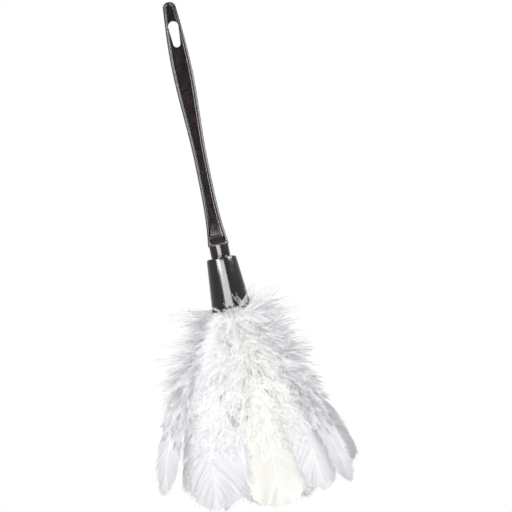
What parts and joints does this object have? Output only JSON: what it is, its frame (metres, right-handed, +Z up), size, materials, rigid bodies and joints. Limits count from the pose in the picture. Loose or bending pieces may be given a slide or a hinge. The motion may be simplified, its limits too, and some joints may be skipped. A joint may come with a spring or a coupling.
{
  "type": "feather duster",
  "caption": "Hand duster with a slim recessed handle, a teardrop hanging slot, a tapered black ferrule and a full skirt of white downy feathers.",
  "frame": {"origin": "top of the hanging slot's inner edge, at the middle of the handle's thickness, where a hook carries the weight", "axes": "+Z up along the handle as it hangs, +Y through the hanging slot from front to back, +X to the right of the front"},
  "size_m": [0.1824, 0.1469, 0.462],
  "materials": {
    "handle_plastic": "satin",
    "ferrule_plastic": "satin",
    "dowel_wood": "matte",
    "binding_thread": "matte",
    "feather_white": "matte",
    "feather_cream": "matte",
    "feather_grey": "matte"
  },
  "bodies": {
    "duster": {"handle": "handle_plastic", "ferrule": "ferrule_plastic", "core_dowel": "dowel_wood", "inner_binding": "binding_thread", "middle_binding": "binding_thread", "outer_binding": "binding_thread", "outer_quill_ends": "feather_white", "middle_feather_1": "feather_white", "middle_feather_2": "feather_white", "middle_feather_3": "feather_cream", "middle_feather_4": "feather_white", "middle_feather_5": "feather_white", "middle_feather_6": "feather_white", "middle_feather_7": "feather_white", "middle_feather_8": "feather_cream", "middle_feather_9": "feather_white", "middle_feather_10": "feather_white", "middle_feather_11": "feather_white", "middle_feather_12": "feather_white", "inner_feather_1": "feather_white", "inner_feather_2": "feather_white", "inner_feather_3": "feather_white", "inner_feather_4": "feather_white", "inner_feather_5": "feather_white", "inner_feather_6": "feather_white", "inner_feather_7": "feather_white", "inner_feather_8": "feather_white"},
    "plume_1": {"outer_feather_1": "feather_white"},
    "plume_2": {"outer_feather_2": "feather_cream"},
    "plume_3": {"outer_feather_3": "feather_white"},
    "plume_4": {"outer_feather_4": "feather_white"},
    "plume_5": {"outer_feather_5": "feather_grey"},
    "plume_6": {"outer_feather_6": "feather_white"},
    "plume_7": {"outer_feather_7": "feather_white"},
    "plume_8": {"outer_feather_8": "feather_white"},
    "plume_9": {"outer_feather_9": "feather_cream"},
    "plume_10": {"outer_feather_10": "feather_white"},
    "plume_11": {"outer_feather_11": "feather_grey"},
    "plume_12": {"outer_feather_12": "feather_white"}
  },
  "joints": [
    {"name": "splay_1", "type": "hinge", "parent": "duster", "child": "plume_1", "pos_m": [-0.00739, -0.00881, -0.2575], "axis": [-0.766, 0.6428, 0], "range_deg": [0, 15], "stiffness_Nm_per_rad": 0.02},
    {"name": "splay_2", "type": "hinge", "parent": "duster", "child": "plume_2", "pos_m": [0.002, -0.01132, -0.2575], "axis": [-0.9848, -0.1736, 0], "range_deg": [0, 15], "stiffness_Nm_per_rad": 0.02},
    {"name": "splay_3", "type": "hinge", "parent": "duster", "child": "plume_3", "pos_m": [0.00799, -0.00827, -0.2575], "axis": [-0.7193, -0.6947, 0], "range_deg": [0, 15], "stiffness_Nm_per_rad": 0.02},
    {"name": "splay_4", "type": "hinge", "parent": "duster", "child": "plume_4", "pos_m": [0.01034, -0.00504, -0.2575], "axis": [-0.4384, -0.8988, 0], "range_deg": [0, 15], "stiffness_Nm_per_rad": 0.02},
    {"name": "splay_5", "type": "hinge", "parent": "duster", "child": "plume_5", "pos_m": [0.0115, 0, -0.2575], "axis": [0, -1, 0], "range_deg": [0, 15], "stiffness_Nm_per_rad": 0.02},
    {"name": "splay_6", "type": "hinge", "parent": "duster", "child": "plume_6", "pos_m": [0.00986, 0.00592, -0.2575], "axis": [0.515, -0.8572, 0], "range_deg": [0, 15], "stiffness_Nm_per_rad": 0.02},
    {"name": "splay_7", "type": "hinge", "parent": "duster", "child": "plume_7", "pos_m": [0.00575, 0.00996, -0.2575], "axis": [0.866, -0.5, 0], "range_deg": [0, 15], "stiffness_Nm_per_rad": 0.02},
    {"name": "splay_8", "type": "hinge", "parent": "duster", "child": "plume_8", "pos_m": [0.0004, 0.01149, -0.2575], "axis": [0.9994, -0.0349, 0], "range_deg": [0, 15], "stiffness_Nm_per_rad": 0.02},
    {"name": "splay_9", "type": "hinge", "parent": "duster", "child": "plume_9", "pos_m": [-0.00504, 0.01034, -0.2575], "axis": [0.8988, 0.4384, 0], "range_deg": [0, 15], "stiffness_Nm_per_rad": 0.02},
    {"name": "splay_10", "type": "hinge", "parent": "duster", "child": "plume_10", "pos_m": [-0.00918, 0.00692, -0.2575], "axis": [0.6018, 0.7986, 0], "range_deg": [0, 15], "stiffness_Nm_per_rad": 0.02},
    {"name": "splay_11", "type": "hinge", "parent": "duster", "child": "plume_11", "pos_m": [-0.01125, 0.00239, -0.2575], "axis": [0.2079, 0.9781, 0], "range_deg": [0, 15], "stiffness_Nm_per_rad": 0.02},
    {"name": "splay_12", "type": "hinge", "parent": "duster", "child": "plume_12", "pos_m": [-0.01125, -0.00239, -0.2575], "axis": [-0.2079, 0.9781, 0], "range_deg": [0, 15], "stiffness_Nm_per_rad": 0.02}
  ]
}
